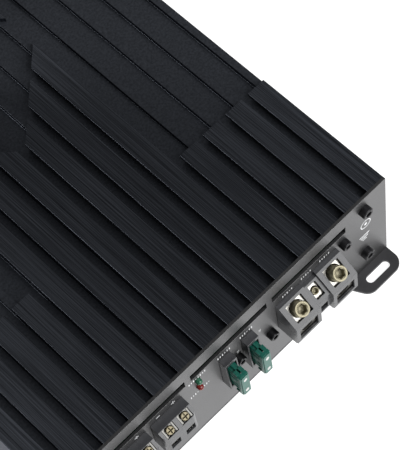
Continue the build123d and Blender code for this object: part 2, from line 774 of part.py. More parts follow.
def slide_switches():
    """Bodies of the two slide switches."""
    bodies = []
    for x in SWITCH_XS.values():
        z = down(POT_DOWN)
        body = box(wide(x, 12), (REAR_Y - PANEL_T - 0.2, REAR_Y - 10), (BOARD_Z, z - 3.5))
        bodies.append(body - box(wide(x, 3.4 + 2 * SWITCH_TRAVEL), (REAR_Y - 6, REAR_Y), wide(z, 4.4)))
    return bodies


def switch_slider(x):
    """Sliding tab of a switch."""
    return box(wide(x, 3.0), (REAR_Y - 5.8, REAR_Y + 2.2), wide(down(POT_DOWN), 4.0))


def remote_port():
    """Socket for a remote level control."""
    z = down(POT_DOWN)
    socket = box(wide(PORT_X, 13.2), (REAR_Y - PANEL_T - 0.2, REAR_Y - 18), (BOARD_Z, z - 6.5))
    return socket - box(wide(PORT_X, 9.6), (REAR_Y - 14, REAR_Y), wide(z, 7.6))


# ---------------------------------------------------------------- nodes

save("heat_sink", heat_sink())
save("front_panel", front_panel())
save("rear_panel", rear_panel())
save("bottom_plate", bottom_plate())
save("front_panel_screws", casing_screws(FRONT_Y, 1, HOUSING_SCREWS))
save("rear_panel_screws", casing_screws(REAR_Y, -1))
save("bottom_plate_screws", bottom_screws())
save("main_board", main_board())
save("board_standoffs", standoffs())
save("board_screws", board_screws())
save("power_terminal_housing", power_terminal_housing())
for cell in CELLS:
    save(f"{cell.name}_terminal_block", terminal_block(cell))
    save(f"{cell.name}_set_screw", set_screw(cell))
for number, x in enumerate(SPEAKER_X, 1):
    save(f"speaker_housing_{number}", speaker_housing(x))
for number, x in enumerate(speaker_places(), 1):
    save(f"speaker_clamp_{number}", speaker_clamp(x))
    save(f"speaker_screw_{number}", speaker_screw(x))
for number, x in enumerate(FUSE_X, 1):
    save(f"fuse_holder_{number}", fuse_holder(x))
    save(f"fuse_contacts_{number}", fuse_contacts(x))
    save(f"fuse_body_{number}", fuse_body(x))
    save(f"fuse_element_{number}", fuse_element(x))
save("power_light", light(LIGHT_DOWN[0]))
save("protection_light", light(LIGHT_DOWN[1]))
for name, side in (("left", -1), ("right", 1)):
    save(f"transistors_{name}", transistors(side))
    save(f"insulating_pad_{name}", insulating_pad(side))
    save(f"clamp_bar_{name}", clamp_bar(side))
save("clamp_screws", clamp_screws())
for number, y in enumerate(TOROIDS_Y, 1):
    save(f"toroid_{number}", toroid(y))
save("toroid_washers", [toroid_washer(y) for y in TOROIDS_Y])
supply_places = [(x, y) for x in (-50, 50) for y in (-90, -60)]
save("supply_capacitors", capacitors(supply_places, BIG_CAP_R, BIG_CAP_H))
filter_places = [(x, y) for x in (-45, 0, 45) for y in (60, 90)]
save("filter_capacitors", capacitors(filter_places, SMALL_CAP_R, SMALL_CAP_H))
save("output_coils", output_coils())
save("input_jack_block", jack_housing())
save("input_jack_shells", jack_shells())
save("control_pots", control_pots())
for name, x in POT_XS.items():
    save(name, knob(x))
save("slide_switches", slide_switches())
for name, x in SWITCH_XS.items():
    save(name, switch_slider(x))
save("remote_port", remote_port())
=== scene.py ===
"""Looks of the car amplifier: materials, detailed pieces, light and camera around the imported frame.

The frame, boxes and object places are in metres. Profiles, outlines and widths are in mm.
"""

import json
import math

import bmesh
import bpy
from mathutils import Matrix, Vector


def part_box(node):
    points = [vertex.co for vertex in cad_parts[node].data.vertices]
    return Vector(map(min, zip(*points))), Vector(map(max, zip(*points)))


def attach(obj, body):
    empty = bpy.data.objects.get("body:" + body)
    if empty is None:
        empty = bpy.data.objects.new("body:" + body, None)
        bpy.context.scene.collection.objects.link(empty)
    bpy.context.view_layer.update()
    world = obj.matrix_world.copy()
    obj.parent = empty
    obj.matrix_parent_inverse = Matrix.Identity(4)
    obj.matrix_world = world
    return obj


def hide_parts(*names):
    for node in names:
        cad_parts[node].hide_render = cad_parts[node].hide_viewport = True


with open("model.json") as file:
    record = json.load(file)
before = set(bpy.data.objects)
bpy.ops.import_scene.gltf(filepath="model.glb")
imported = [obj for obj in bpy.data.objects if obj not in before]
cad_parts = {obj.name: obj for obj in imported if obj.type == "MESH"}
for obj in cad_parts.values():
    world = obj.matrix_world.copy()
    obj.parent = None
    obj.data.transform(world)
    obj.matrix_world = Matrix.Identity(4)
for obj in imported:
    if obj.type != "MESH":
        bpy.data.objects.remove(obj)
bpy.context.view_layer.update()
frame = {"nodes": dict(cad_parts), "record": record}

MM = 0.001
SLANT = math.radians(35.0)
SCREW_AXIS = Vector((0, -math.sin(SLANT), math.cos(SLANT)))
UP_SLOPE = Vector((0, math.cos(SLANT), math.sin(SLANT)))
BODY_OF = {node: body for body, nodes in frame["record"]["behaviour"]["bodies"].items() for node in nodes}


# ---------------------------------------------------------------- shader nodes

class Shader:
    """A material under construction, with short calls for the nodes it uses."""

    def __init__(self, name, color, roughness, metallic=0.0):
        self.material = bpy.data.materials.new(name)
        self.material.use_nodes = True
        self.tree = self.material.node_tree
        self.surface = self.tree.nodes["Principled BSDF"]
        self.color = color
        self.set("Base Color", (*color, 1.0))
        self.set("Roughness", roughness)
        self.set("Metallic", metallic)

    def set(self, socket, value):
        """Give one of the surface's sockets a fixed value."""
        self.surface.inputs[socket].default_value = value

    def node(self, kind, **settings):
        """Add a node with some of its settings."""
        made = self.tree.nodes.new(kind)
        for setting, value in settings.items():
            setattr(made, setting, value)
        return made

    def link(self, source, target):
        """Wire an output to an input."""
        self.tree.links.new(source, target)

    def place(self, scale=(1, 1, 1)):
        """Object coordinates in metres, stretched by a scale."""
        coordinates = self.node("ShaderNodeTexCoord")
        mapping = self.node("ShaderNodeMapping")
        mapping.inputs["Scale"].default_value = scale
        self.link(coordinates.outputs["Object"], mapping.inputs["Vector"])
        return mapping.outputs["Vector"]

    def grain(self, scale, detail=3.0, roughness=0.55, stretch=(1, 1, 1)):
        """Noise value over the surface, its features 1/scale metres wide."""
        texture = self.node("ShaderNodeTexNoise")
        texture.inputs["Scale"].default_value = scale
        texture.inputs["Detail"].default_value = detail
        texture.inputs["Roughness"].default_value = roughness
        self.link(self.place(stretch), texture.inputs["Vector"])
        return texture.outputs["Fac"]

    def spread(self, value, low, high, start=0.3, end=0.7):
        """Map a value from start..end to low..high."""
        mapped = self.node("ShaderNodeMapRange")
        mapped.inputs["From Min"].default_value = start
        mapped.inputs["From Max"].default_value = end
        mapped.inputs["To Min"].default_value = low
        mapped.inputs["To Max"].default_value = high
        self.link(value, mapped.inputs["Value"])
        return mapped.outputs["Result"]

    def shade(self, value, amount, start=0.3, end=0.7):
        """Vary the base colour by a share, down to up as a value goes from start to end."""
        low = tuple(channel * (1 - amount) for channel in self.color)
        high = tuple(min(1.0, channel * (1 + amount)) for channel in self.color)
        ramp = self.node("ShaderNodeValToRGB")
        ramp.color_ramp.elements[0].position = start
        ramp.color_ramp.elements[1].position = end
        ramp.color_ramp.elements[0].color = (*low, 1)
        ramp.color_ramp.elements[1].color = (*high, 1)
        self.link(value, ramp.inputs["Fac"])
        self.link(ramp.outputs["Color"], self.surface.inputs["Base Color"])

    def rough(self, value, low, high):
        """Vary the roughness with a value."""
        self.link(self.spread(value, low, high), self.surface.inputs["Roughness"])

    def bump(self, value, depth, strength):
        """Relief of a depth in mm."""
        relief = self.node("ShaderNodeBump")
        relief.inputs["Distance"].default_value = depth * MM
        relief.inputs["Strength"].default_value = strength
        self.link(value, relief.inputs["Height"])
        self.link(relief.outputs["Normal"], self.surface.inputs["Normal"])


# ---------------------------------------------------------------- materials

def milled_share(shader):
    """Value that is 1 on level faces below the fins' top, where the casing is milled, and 0 elsewhere."""
    place = shader.node("ShaderNodeSeparateXYZ")
    shader.link(shader.place(), place.inputs["Vector"])
    normal = shader.node("ShaderNodeSeparateXYZ")
    shader.link(shader.node("ShaderNodeNewGeometry").outputs["Normal"], normal.inputs["Vector"])
    fin_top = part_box("heat_sink")[1].z
    below_top = shader.spread(place.outputs["Z"], 1.0, 0.0, fin_top - 0.9 * MM, fin_top - 0.4 * MM)
    level = shader.spread(normal.outputs["Z"], 0.0, 1.0, 0.8, 0.95)
    both = shader.node("ShaderNodeMath", operation="MULTIPLY")
    shader.link(below_top, both.inputs[0])
    shader.link(level, both.inputs[1])
    return both.outputs["Value"]


def anodised():
    """Black anodised aluminium: brushed along the raised fins, finely speckled where it is milled down."""
    shader = Shader("black_anodised_aluminium", (0.104, 0.113, 0.133), 0.42, 1.0)
    streaks = shader.grain(1.0, 4.0, 0.7, (3900, 16, 3900))
    speckle = shader.spread(shader.grain(900.0, 3.0, 0.6), 0.44, 0.56)
    pattern = shader.node("ShaderNodeMix", data_type="FLOAT")
    shader.link(milled_share(shader), pattern.inputs["Factor"])
    shader.link(streaks, pattern.inputs["A"])
    shader.link(speckle, pattern.inputs["B"])
    relief = pattern.outputs["Result"]
    shader.shade(relief, 0.72, 0.32, 0.68)
    shader.rough(relief, 0.37, 0.46)
    shader.bump(relief, 0.05, 0.55)
    shader.set("Specular Tint", (0.4, 0.4, 0.42, 1.0))
    shader.set("Anisotropic", 0.5)
    return shader.material


def panel_paint():
    """Grey satin paint with a fine orange peel."""
    shader = Shader("grey_satin_paint", (0.156, 0.156, 0.159), 0.42, 1.0)
    peel = shader.grain(2200, 3.0, 0.6)
    cloud = shader.grain(30, 4.0, 0.6)
    shader.shade(cloud, 0.05)
    shader.rough(peel, 0.36, 0.48)
    shader.bump(peel, 0.03, 0.35)
    return shader.material


def powder_coat():
    """Black powder coat with its fine pebbled relief."""
    shader = Shader("black_powder_coat", (0.034, 0.034, 0.037), 0.55)
    pebbles = shader.grain(1800, 2.0, 0.5)
    dust = shader.grain(90, 4.0, 0.65)
    shader.shade(dust, 0.2)
    shader.rough(pebbles, 0.46, 0.66)
    shader.bump(pebbles, 0.06, 0.6)
    return shader.material


def housing_plastic():
    """Black moulded plastic with a light spark-eroded grain."""
    shader = Shader("black_moulded_plastic", (0.040, 0.041, 0.045), 0.30)
    grain = shader.grain(3200, 2.0, 0.5)
    flow = shader.grain(120, 3.0, 0.6, (1, 1, 2.5))
    shader.shade(flow, 0.12)
    shader.rough(flow, 0.25, 0.35)
    shader.set("Specular IOR Level", 0.62)
    shader.bump(grain, 0.02, 0.4)
    return shader.material


def plated(name, color, smoothest, roughest, metallic=1.0):
    """Plated metal with soft smears in its gloss."""
    shader = Shader(name, color, smoothest, metallic)
    smear = shader.grain(420, 4.0, 0.65, (1, 1, 3))
    shader.shade(smear, 0.1)
    shader.rough(smear, smoothest, roughest)
    shader.bump(smear, 0.02, 0.3)
    return shader.material


def black_oxide():
    """Blackened steel of the socket screws."""
    shader = Shader("black_oxide_steel", (0.018, 0.018, 0.020), 0.38, 0.6)
    mottle = shader.grain(700, 4.0, 0.6)
    shader.shade(mottle, 0.35)
    shader.rough(mottle, 0.28, 0.46)
    shader.bump(mottle, 0.02, 0.4)
    return shader.material


def clear_plastic(name, color, transmission, roughness):
    """Tinted see-through plastic with faint flow marks."""
    shader = Shader(name, color, roughness)
    flow = shader.grain(260, 3.0, 0.6, (1, 2.5, 1))
    shader.shade(flow, 0.16)
    shader.bump(flow, 0.04, 0.3)
    shader.set("Transmission Weight", transmission)
    shader.set("IOR", 1.49)
    return shader.material


def enamelled_copper():
    """Copper wire under clear enamel."""
    shader = Shader("enamelled_copper", (0.52, 0.17, 0.055), 0.28, 0.85)
    drift = shader.grain(160, 3.0, 0.6)
    shader.shade(drift, 0.22)
    shader.rough(drift, 0.22, 0.36)
    shader.set("Coat Weight", 0.5)
    shader.set("Coat Roughness", 0.15)
    return shader.material


def solder_mask():
    """Green board lacquer over the raised tracks."""
    shader = Shader("green_solder_mask", (0.012, 0.085, 0.035), 0.32)
    tracks = shader.node("ShaderNodeTexBrick", offset=0.37, squash=1.0)
    tracks.inputs["Scale"].default_value = 85.0
    tracks.inputs["Mortar Size"].default_value = 0.018
    shader.link(shader.place(), tracks.inputs["Vector"])
    cloud = shader.grain(45, 3.0, 0.6)
    shader.shade(cloud, 0.25)
    shader.bump(tracks.outputs["Fac"], 0.12, 0.6)
    shader.set("Coat Weight", 0.3)
    return shader.material


def moulded(name, color, roughness, relief=0.02):
    """Plain moulded or printed surface with fine grain."""
    shader = Shader(name, color, roughness)
    grain = shader.grain(1500, 3.0, 0.55)
    cloud = shader.grain(70, 3.0, 0.6)
    shader.shade(cloud, 0.12)
    shader.rough(grain, roughness * 0.88, roughness * 1.12)
    shader.bump(grain, relief, 0.4)
    return shader.material


ALUMINIUM = anodised()
PAINT = panel_paint()
POWDER = powder_coat()
PLASTIC = housing_plastic()
NICKEL = plated("nickel_plate", (0.40, 0.39, 0.36), 0.24, 0.38)
GILT = plated("gilt_plate", (0.27, 0.245, 0.165), 0.30, 0.44, 0.5)
STEEL = plated("dull_plated_steel", (0.19, 0.165, 0.105), 0.34, 0.48, 0.6)
DULL_NICKEL = plated("dull_nickel_plate", (0.135, 0.133, 0.126), 0.26, 0.40)
ZINC = plated("zinc_plated_steel", (0.56, 0.57, 0.58), 0.30, 0.46)
BRASS = plated("turned_brass", (0.62, 0.47, 0.20), 0.24, 0.38)
TIN = plated("tinned_leads", (0.70, 0.70, 0.69), 0.26, 0.40)
OXIDE = black_oxide()
FUSE_GREEN = clear_plastic("green_fuse_plastic", (0.010, 0.125, 0.092), 0.2, 0.34)
# Dark green of the fuse's test holes: painted shade on flat ovals, not a real recess or window.
PAINTED_HOLE_SHADE = moulded("painted_hole_shade", (0.01, 0.12, 0.08), 0.35)
LENS_GREEN = clear_plastic("green_lens", (0.03, 0.15, 0.085), 0.35, 0.14)
LENS_RED = clear_plastic("red_lens", (0.24, 0.02, 0.016), 0.35, 0.14)
COPPER = enamelled_copper()
BOARD = solder_mask()
PRINT = moulded("white_screen_print", (0.72, 0.73, 0.74), 0.5)
EPOXY = moulded("black_epoxy", (0.022, 0.022, 0.024), 0.42, 0.04)
SILICONE = moulded("grey_silicone", (0.36, 0.37, 0.39), 0.7, 0.06)
SLEEVE = moulded("black_can_sleeve", (0.016, 0.018, 0.030), 0.3)
STRIPE = moulded("pale_stripe", (0.50, 0.52, 0.55), 0.4)
ALLOY = plated("bare_aluminium", (0.76, 0.77, 0.78), 0.28, 0.42)
IVORY = moulded("white_insulator", (0.70, 0.69, 0.66), 0.4)
RED = moulded("red_insulator", (0.42, 0.025, 0.02), 0.4)
# Black of the coil cores' own coating, also used as painted shade on the capacitor vents' scores.
DARK_COATING_AND_SCORE_SHADE = moulded("black_core_coating_and_score_shade", (0.02, 0.02, 0.02), 0.5)


# ---------------------------------------------------------------- pieces

FIN_ZONE = 6.0
SEAM_GAP = 2e-6


def new_piece(name, mesh):
    """Put a mesh in the scene."""
    piece = bpy.data.objects.new(name, mesh)
    bpy.context.scene.collection.objects.link(piece)
    return piece


def show(piece, node, *materials):
    """Give a finished piece its materials and put it on the body of its CAD node."""
    piece.data.materials.clear()
    for material in materials:
        piece.data.materials.append(material)
    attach(piece, BODY_OF[node])


def stand_in(piece, node, *materials):
    """Show a finished piece instead of its CAD node's plain shape."""
    show(piece, node, *materials)
    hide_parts(node)


def evaluated(piece):
    """Bake a piece's modifiers into its mesh."""
    graph = bpy.context.evaluated_depsgraph_get()
    mesh = bpy.data.meshes.new_from_object(piece.evaluated_get(graph))
    piece.modifiers.clear()
    piece.data = mesh


def weigh_normals(piece):
    """Let large faces keep their own normal where they meet narrow rounded edges."""
    for polygon in piece.data.polygons:
        polygon.use_smooth = True
    piece.data.set_sharp_from_angle(angle=math.radians(40))
    normals = piece.modifiers.new("normals", "WEIGHTED_NORMAL")
    normals.mode = "FACE_AREA"
    normals.weight = 100
    normals.keep_sharp = True
    evaluated(piece)


def round_edges(piece, width, segments=2, angle=40):
    """Round a piece's edges that are sharper than an angle in degrees."""
    bevel = piece.modifiers.new("edges", "BEVEL")
    bevel.width = width * MM
    bevel.segments = segments
    bevel.limit_method = "ANGLE"
    bevel.angle_limit = math.radians(angle)
    evaluated(piece)
    weigh_normals(piece)


def merged(node):
    """A copy of a CAD node's mesh, and the same shape with seams joined and flat faces whole."""
    mesh = frame["nodes"][node].data.copy()
    shape = bmesh.new()
    shape.from_mesh(mesh)
    bmesh.ops.remove_doubles(shape, verts=shape.verts, dist=SEAM_GAP)
    bmesh.ops.dissolve_limit(shape, angle_limit=math.radians(1), verts=shape.verts, edges=shape.edges)
    return mesh, shape


def refined(node, width, material):
    """A CAD node's shape with rounded edges."""
    mesh, shape = merged(node)
    shape.to_mesh(mesh)
    shape.free()
    piece = new_piece(node + "_detailed", mesh)
    round_edges(piece, width, angle=32)
    stand_in(piece, node, material)


def long_edges(shape, floor_z):
    """Sharp edges along Y above a height."""
    chosen = []
    for edge in shape.edges:
        start, end = (vert.co for vert in edge.verts)
        if len(edge.link_faces) != 2 or min(start.z, end.z) < floor_z:
            continue
        if (start - end).xz.length < 1e-6 and edge.calc_face_angle() > 0.5:
            chosen.append(edge)
    return chosen


def finned_casing(width):
    """The heat sink with its long edges rounded, over a zone below its top that holds the fins."""
    mesh, shape = merged("heat_sink")
    floor_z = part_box("heat_sink")[1].z - FIN_ZONE * MM
    bmesh.ops.bevel(shape, geom=long_edges(shape, floor_z), offset=width * MM, offset_type="OFFSET",
                    segments=2, profile=0.5, affect="EDGES", clamp_overlap=False)
    shape.to_mesh(mesh)
    shape.free()
    piece = new_piece("heat_sink_detailed", mesh)
    weigh_normals(piece)
    stand_in(piece, "heat_sink", ALUMINIUM)


def islands(node):
    """Boxes (low, high) of the separate solids of a CAD node, in a fixed order."""
    shape = bmesh.new()
    shape.from_mesh(frame["nodes"][node].data)
    bmesh.ops.remove_doubles(shape, verts=shape.verts, dist=SEAM_GAP)
    seen = set()
    boxes = []
    for start in shape.verts:
        if start in seen:
            continue
        seen.add(start)
        stack = [start]
        members = []
        while stack:
            vert = stack.pop()
            members.append(vert.co)
            for edge in vert.link_edges:
                other = edge.other_vert(vert)
                if other not in seen:
                    seen.add(other)
                    stack.append(other)
        low = Vector([min(place[axis] for place in members) for axis in range(3)])
        high = Vector([max(place[axis] for place in members) for axis in range(3)])
        boxes.append((low, high))
    shape.free()
    return sorted(boxes, key=lambda box: tuple(round(value, 4) for value in box[0]))


def numbered(name, count):
    """Names of repeated nodes: name_1, name_2 and so on."""
    return [f"{name}_{number}" for number in range(1, count + 1)]


def middle_of(node):
    """Centre of a node's box along X, in mm."""
    low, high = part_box(node)
    return (low.x + high.x) / 2 / MM


def half_width(low, high):
    """Half the size of a box along X, in mm: the radius of a round solid whose axis is across X."""
    return (high.x - low.x) / 2 / MM


# ---------------------------------------------------------------- shapes

def facing(origin, direction):
    """Matrix that takes local +Z to a direction, at an origin."""
    return Matrix.Translation(origin) @ Vector(direction).to_track_quat("Z", "Y").to_matrix().to_4x4()


def on_slope(place):
    """Matrix of a plate on the terminals' slanted faces: local Y up the slope, local Z out of it."""
    turn = Matrix((Vector((1, 0, 0)), UP_SLOPE, SCREW_AXIS)).transposed().to_4x4()
    return Matrix.Translation(place) @ turn


def finish_mesh(name, shape, sharp=35):
    """Turn a bmesh into a piece, with its edges sharp above an angle in degrees."""
    bmesh.ops.recalc_face_normals(shape, faces=shape.faces)
    mesh = bpy.data.meshes.new(name)
    shape.to_mesh(mesh)
    shape.free()
    for polygon in mesh.polygons:
        polygon.use_smooth = True
    mesh.set_sharp_from_angle(angle=math.radians(sharp))
    return new_piece(name, mesh)


def stack_rings(shape, rings, count, matrix, material=0, closed=(True, True)):
    """Add a surface of rings: each is (radius or a function of the angle, height), with count points."""
    loops = []
    for radius, height in rings:
        loop = []
        for k in range(count):
            angle = 2 * math.pi * k / count
            r = radius(angle) if callable(radius) else radius
            point = Vector((r * math.cos(angle), r * math.sin(angle), height)) * MM
            loop.append(shape.verts.new(matrix @ point))
        loops.append(loop)
    for low, high in zip(loops, loops[1:]):
        for k in range(count):
            after = (k + 1) % count
            face = shape.faces.new((low[k], low[after], high[after], high[k]))
            face.material_index = material
    if closed[0]:
        shape.faces.new(list(reversed(loops[0]))).material_index = material
    if closed[1]:
        shape.faces.new(loops[-1]).material_index = material


def slab(shape, low, high, matrix, material=0):
    """Add a plain box between two corners."""
    low, high = Vector(low), Vector(high)
    size = Matrix.Diagonal((*((high - low) * MM), 1.0))
    place = matrix @ Matrix.Translation((low + high) / 2 * MM) @ size
    made = bmesh.ops.create_cube(shape, size=1.0, matrix=place)
    faces = {face for vert in made["verts"] for face in vert.link_faces}
    for face in faces:
        face.material_index = material


def prism(shape, outline, low, high, matrix, material=0):
    """Add a solid with a flat outline of (x, y) between two local heights."""
    bottom = [shape.verts.new(matrix @ (Vector((x, y, low)) * MM)) for x, y in outline]
    top = [shape.verts.new(matrix @ (Vector((x, y, high)) * MM)) for x, y in outline]
    faces = [shape.faces.new(list(reversed(bottom))), shape.faces.new(top)]
    for k in range(len(outline)):
        after = (k + 1) % len(outline)
        faces.append(shape.faces.new((bottom[k], bottom[after], top[after], top[k])))
    for face in faces:
        face.material_index = material


def tube(shape, path, radius, sides=8):
    """Add a round wire along points in metres."""
    loops = []
    last = len(path) - 1
    for k, point in enumerate(path):
        direction = (path[min(k + 1, last)] - path[max(k - 1, 0)]).normalized()
        across = direction.cross(Vector((0.3, 0.2, 0.93))).normalized()
        up = across.cross(direction)
        loop = []
        for side in range(sides):
            angle = 2 * math.pi * side / sides
            offset = across * math.cos(angle) + up * math.sin(angle)
            loop.append(shape.verts.new(point + offset * radius * MM))
        loops.append(loop)
    for low, high in zip(loops, loops[1:]):
        for side in range(sides):
            after = (side + 1) % sides
            shape.faces.new((low[side], low[after], high[after], high[side]))
    shape.faces.new(list(reversed(loops[0])))
    shape.faces.new(loops[-1])


# ---------------------------------------------------------------- outlines

def rectangle(low_x, low_y, high_x, high_y):
    """Outline of a rectangle between two corners."""
    return [(low_x, low_y), (high_x, low_y), (high_x, high_y), (low_x, high_y)]


def chamfered(half_x, half_y, cut):
    """Outline of a rectangle with cut corners."""
    return [
        (-half_x + cut, -half_y), (half_x - cut, -half_y), (half_x, -half_y + cut), (half_x, half_y - cut),
        (half_x - cut, half_y), (-half_x + cut, half_y), (-half_x, half_y - cut), (-half_x, -half_y + cut)]


def oval(x, y, half_x, half_y):
    """Outline of an ellipse with twenty points."""
    angles = [math.pi * k / 10 for k in range(20)]
    return [(x + half_x * math.cos(angle), y + half_y * math.sin(angle)) for angle in angles]


def hexagonal(across):
    """Radius of a hexagon of a width across its flats, at an angle."""
    def at(angle):
        return across / 2 / math.cos((angle % (math.pi / 3)) - math.pi / 6)
    return at


def knurled(radius, ridges, depth):
    """Radius with small ridges around it, at an angle."""
    def at(angle):
        return radius - depth * (0.5 - 0.5 * math.cos(ridges * angle))
    return at


def cross(half_slot, reach):
    """Radius of a cross-shaped recess, at an angle."""
    def at(angle):
        off = abs((angle + math.pi / 4) % (math.pi / 2) - math.pi / 4)
        return min(half_slot / max(math.sin(off), 1e-6), reach)
    return at


def slotted(half_slot, reach):
    """Radius of a straight screwdriver slot, at an angle."""
    def at(angle):
        off = abs((angle + math.pi / 2) % math.pi - math.pi / 2)
        return min(half_slot / max(math.sin(off), 1e-6), reach)
    return at


def rectangular(half_x, half_y):
    """Radius of a rectangle, at an angle."""
    def at(angle):
        across = half_x / max(abs(math.cos(angle)), 1e-6)
        upward = half_y / max(abs(math.sin(angle)), 1e-6)
        return min(across, upward)
    return at


def inset(outline, amount):
    """The same radius, a little smaller."""
    def at(angle):
        return outline(angle) - amount
    return at


def threaded(radius, depth, pitch, height):
    """Radius of a helical thread at a height, at an angle."""
    def at(angle):
        phase = (height / pitch - angle / (2 * math.pi)) % 1.0
        return radius - depth * abs(2 * phase - 1)
    return at


def thread_rings(radius, depth, pitch, low, high):
    """Rings of a thread between two heights, six to a turn."""
    count = max(2, int((high - low) / pitch * 6))
    heights = [low + (high - low) * k / count for k in range(count + 1)]
    return [(threaded(radius, depth, pitch, height), height) for height in heights]


# ---------------------------------------------------------------- fasteners

CAP_HEAD_H = 3.5
CAP_SHANK_R = 1.2
FLAT_SHANK_R = 1.25
FLAT_HEAD_H = 0.75


def cap_screw(shape, origin, direction, head_radius, length):
    """Socket-head cap screw: origin in the middle of its outer face, direction into the work."""
    hexagon = hexagonal(head_radius)
    knurl = knurled(head_radius, 36, 0.09)
    stack_rings(shape, [
        (CAP_SHANK_R, -length - CAP_HEAD_H), (CAP_SHANK_R, -CAP_HEAD_H),
        (head_radius * 0.98, -CAP_HEAD_H), (knurl, -CAP_HEAD_H + 0.15), (knurl, -0.55),
        (head_radius * 0.97, -0.4), (head_radius * 0.9, -0.08), (head_radius * 0.84, 0.0),
        (head_radius * 0.66, 0.0), (hexagon, -0.12), (hexagon, -CAP_HEAD_H * 0.55),
        (head_radius * 0.2, -CAP_HEAD_H * 0.68)], 72, facing(origin, -direction))


def screw_group(node, direction, material):
    """Detailed cap screws for each solid of a node; a direction along X is outwards on both sides."""
    shape = bmesh.new()
    axis = max(range(3), key=lambda k: abs(direction[k]))
    for low, high in islands(node):
        centre = (low + high) / 2
        size = high - low
        inward = Vector(direction)
        if inward.x:
            inward.x = math.copysign(1, centre.x)
        radius = size[(axis + 1) % 3] / 2 / MM
        cap_screw(shape, centre - inward * size[axis] / 2, inward, radius, size[axis] / MM - CAP_HEAD_H)
    stand_in(finish_mesh(node + "_detailed", shape), node, material)


def flush_screws():
    """Hex recess screws sunk in the bottom plate."""
    shape = bmesh.new()
    hexagon = hexagonal(1.6)
    for low, high in islands("bottom_plate_screws"):
        centre = (low + high) / 2
        matrix = facing(Vector((centre.x, centre.y, low.z)), (0, 0, -1))
        radius = half_width(low, high)
        length = (high.z - low.z) / MM
        stack_rings(shape, [
            (FLAT_SHANK_R, -length), (FLAT_SHANK_R, -FLAT_HEAD_H), (radius, -FLAT_HEAD_H), (radius, -0.1),
            (radius * 0.94, 0.0), (1.1, 0.0), (hexagon, -0.08), (hexagon, -0.45), (0.3, -0.55)], 48, matrix)
    stand_in(finish_mesh("bottom_plate_screws_detailed", shape), "bottom_plate_screws", OXIDE)


# ---------------------------------------------------------------- terminals

PLATE_T = 0.8
PLATE_CHAMFER = 0.12
PLATE_UP_SLOPE = 0.35
CLAMP_HALF_X = 3.1
CLAMP_HALF_Y = 2.35
CLAMP_T = 0.5
CLAMP_CHAMFER = 0.1
CLAMP_BELOW_HEAD = 1.9
CLAMP_RIB_X = 2.7
CLAMP_RIB_T = 0.7


def slanted_length(node, radius):
    """Length of a slanted round screw, from the depth of its CAD box."""
    low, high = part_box(node)
    return ((high - low).y / MM - 2 * radius * math.cos(SLANT)) / math.sin(SLANT)


def slanted_top(node):
    """Middle of a slanted round screw's outer face, in metres, and its radius."""
    low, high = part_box(node)
    radius = half_width(low, high)
    inward = Vector((0, radius * math.cos(SLANT), -radius * math.sin(SLANT))) * MM
    return Vector(((low.x + high.x) / 2, low.y, high.z)) + inward, radius


def terminal_screw(node, radius, across, pitch):
    """Threaded set screw with a hex socket of a width across its flats."""
    low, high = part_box(node)
    length = slanted_length(node, radius)
    matrix = facing((low + high) / 2 + SCREW_AXIS * length / 2 * MM, SCREW_AXIS)
    hexagon = hexagonal(across)
    rings = [(radius * 0.7, -length), (radius * 0.86, -length + 0.35)]
    rings += thread_rings(radius - 0.02, pitch * 0.45, pitch, -length + 0.7, -0.5)
    rings += [(radius * 0.95, -0.35), (radius * 0.88, 0.0), (across * 0.66, 0.0), (across * 0.6, -0.12)]
    rings += [(hexagon, -0.25), (hexagon, -length * 0.42), (across * 0.22, -length * 0.5)]
    shape = bmesh.new()
    stack_rings(shape, rings, 72, matrix)
    stand_in(finish_mesh(node + "_detailed", shape, 50), node, GILT)


def holed_plate(shape, outer, top, hole, thickness, chamfer, matrix):
    """Add a plate with a round hole: an outer outline, and a smaller one at its chamfered top."""
    stack_rings(shape, [
        (hole, -thickness), (outer, -thickness), (outer, -chamfer), (top, 0.0),
        (hole + chamfer, 0.0), (hole, -chamfer), (hole, -thickness)], 64, matrix, 0, (False, False))


def pressure_plate(name, below_top, width, height, hole):
    """Bright plate in a power terminal's screw pocket, at a depth below the set screw's outer face."""
    node = f"{name}_set_screw"
    low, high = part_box(node)
    out = slanted_length(node, half_width(low, high)) / 2 - below_top
    place = (low + high) / 2 + (SCREW_AXIS * out + UP_SLOPE * PLATE_UP_SLOPE) * MM
    outer = rectangular(width / 2, height / 2)
    shape = bmesh.new()
    holed_plate(shape, outer, inset(outer, PLATE_CHAMFER), hole, PLATE_T, PLATE_CHAMFER, on_slope(place))
    show(finish_mesh(f"{name}_pressure_plate", shape), f"{name}_terminal_block", NICKEL)


def clamp_plate(number):
    """Bright top of a speaker clamp around its screw's head, with a rib at either side."""
    head_top, radius = slanted_top(f"speaker_screw_{number}")
    matrix = on_slope(head_top - SCREW_AXIS * CLAMP_BELOW_HEAD * MM)
    outer = rectangular(CLAMP_HALF_X, CLAMP_HALF_Y)
    top = rectangular(CLAMP_HALF_X - CLAMP_CHAMFER, CLAMP_HALF_Y - CLAMP_CHAMFER)
    shape = bmesh.new()
    holed_plate(shape, outer, top, radius + 0.15, CLAMP_T, CLAMP_CHAMFER, matrix)
    for x in (-CLAMP_RIB_X, CLAMP_RIB_X):
        slab(shape, (x - CLAMP_RIB_T / 2, -2.2, 0.0), (x + CLAMP_RIB_T / 2, 2.2, 0.9), matrix)
    show(finish_mesh(f"speaker_clamp_{number}_top", shape), f"speaker_clamp_{number}", DULL_NICKEL)


